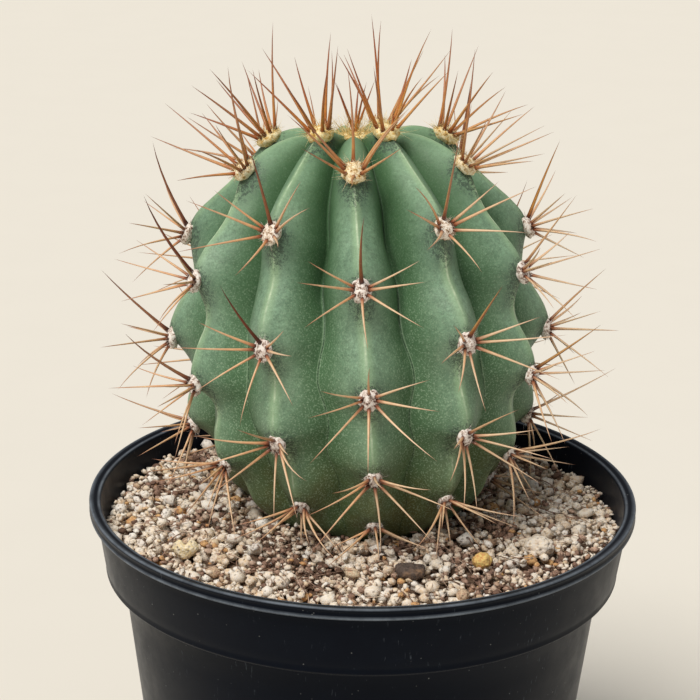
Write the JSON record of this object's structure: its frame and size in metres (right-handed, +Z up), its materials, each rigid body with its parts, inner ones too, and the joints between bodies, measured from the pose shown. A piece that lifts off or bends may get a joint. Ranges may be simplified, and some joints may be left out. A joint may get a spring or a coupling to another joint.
{
  "type": "potted barrel cactus",
  "caption": "Ribbed barrel cactus with stars of long tan spines, standing in pumice grit in a round black plastic nursery pot.",
  "frame": {"origin": "middle of the pot's foot, on the surface that it stands on", "axes": "+Z up along the pot's axis; the front of the plant faces -Y"},
  "size_m": [0.14, 0.14, 0.2326],
  "materials": {
    "pot_plastic": "satin black polypropylene, finely scratched",
    "potting_mix": "damp dark peat with fibres",
    "pumice": "rough porous cream stone",
    "amber_stone": "smooth dull yellow-orange stone",
    "bark": "rough brown bark",
    "cactus_skin": "waxy blue-green skin with fine pale flecks",
    "areole_wool": "yellow-cream felt",
    "spines": "horny, red-brown to tan"
  },
  "bodies": {
    "root": {"nursery_pot": "pot_plastic", "potting_mix": "potting_mix", "pumice_top_dressing": "pumice", "heart_shaped_pumice": "pumice", "cream_pumice_lump": "pumice", "yellow_pebble": "amber_stone", "bark_chip": "bark", "cactus_stem": "cactus_skin", "crown_wool_and_spines": "areole_wool", "spines_rib01_tier1": "spines", "spines_rib01_tier2": "spines", "spines_rib01_tier3": "spines", "spines_rib01_tier4": "spines", "spines_rib01_tier5": "spines", "spines_rib02_tier1": "spines", "spines_rib02_tier2": "spines", "spines_rib02_tier3": "spines", "spines_rib02_tier4": "spines", "spines_rib02_tier5": "spines", "spines_rib03_tier1": "spines", "spines_rib03_tier2": "spines", "spines_rib03_tier3": "spines", "spines_rib03_tier4": "spines", "spines_rib04_tier1": "spines", "spines_rib04_tier2": "spines", "spines_rib04_tier3": "spines", "spines_rib04_tier4": "spines", "spines_rib04_tier5": "spines", "spines_rib05_tier1": "spines", "spines_rib05_tier2": "spines", "spines_rib05_tier3": "spines", "spines_rib05_tier4": "spines", "spines_rib06_tier1": "spines", "spines_rib06_tier2": "spines", "spines_rib06_tier3": "spines", "spines_rib06_tier4": "spines", "spines_rib07_tier1": "spines", "spines_rib07_tier2": "spines", "spines_rib07_tier3": "spines", "spines_rib07_tier4": "spines", "spines_rib08_tier1": "spines", "spines_rib08_tier2": "spines", "spines_rib08_tier3": "spines", "spines_rib08_tier4": "spines", "spines_rib09_tier1": "spines", "spines_rib09_tier2": "spines", "spines_rib09_tier3": "spines", "spines_rib09_tier4": "spines", "spines_rib10_tier1": "spines", "spines_rib10_tier2": "spines", "spines_rib10_tier3": "spines", "spines_rib10_tier4": "spines", "spines_rib11_tier1": "spines", "spines_rib11_tier2": "spines", "spines_rib11_tier3": "spines", "spines_rib11_tier4": "spines", "spines_rib11_tier5": "spines"}
  },
  "joints": []
}
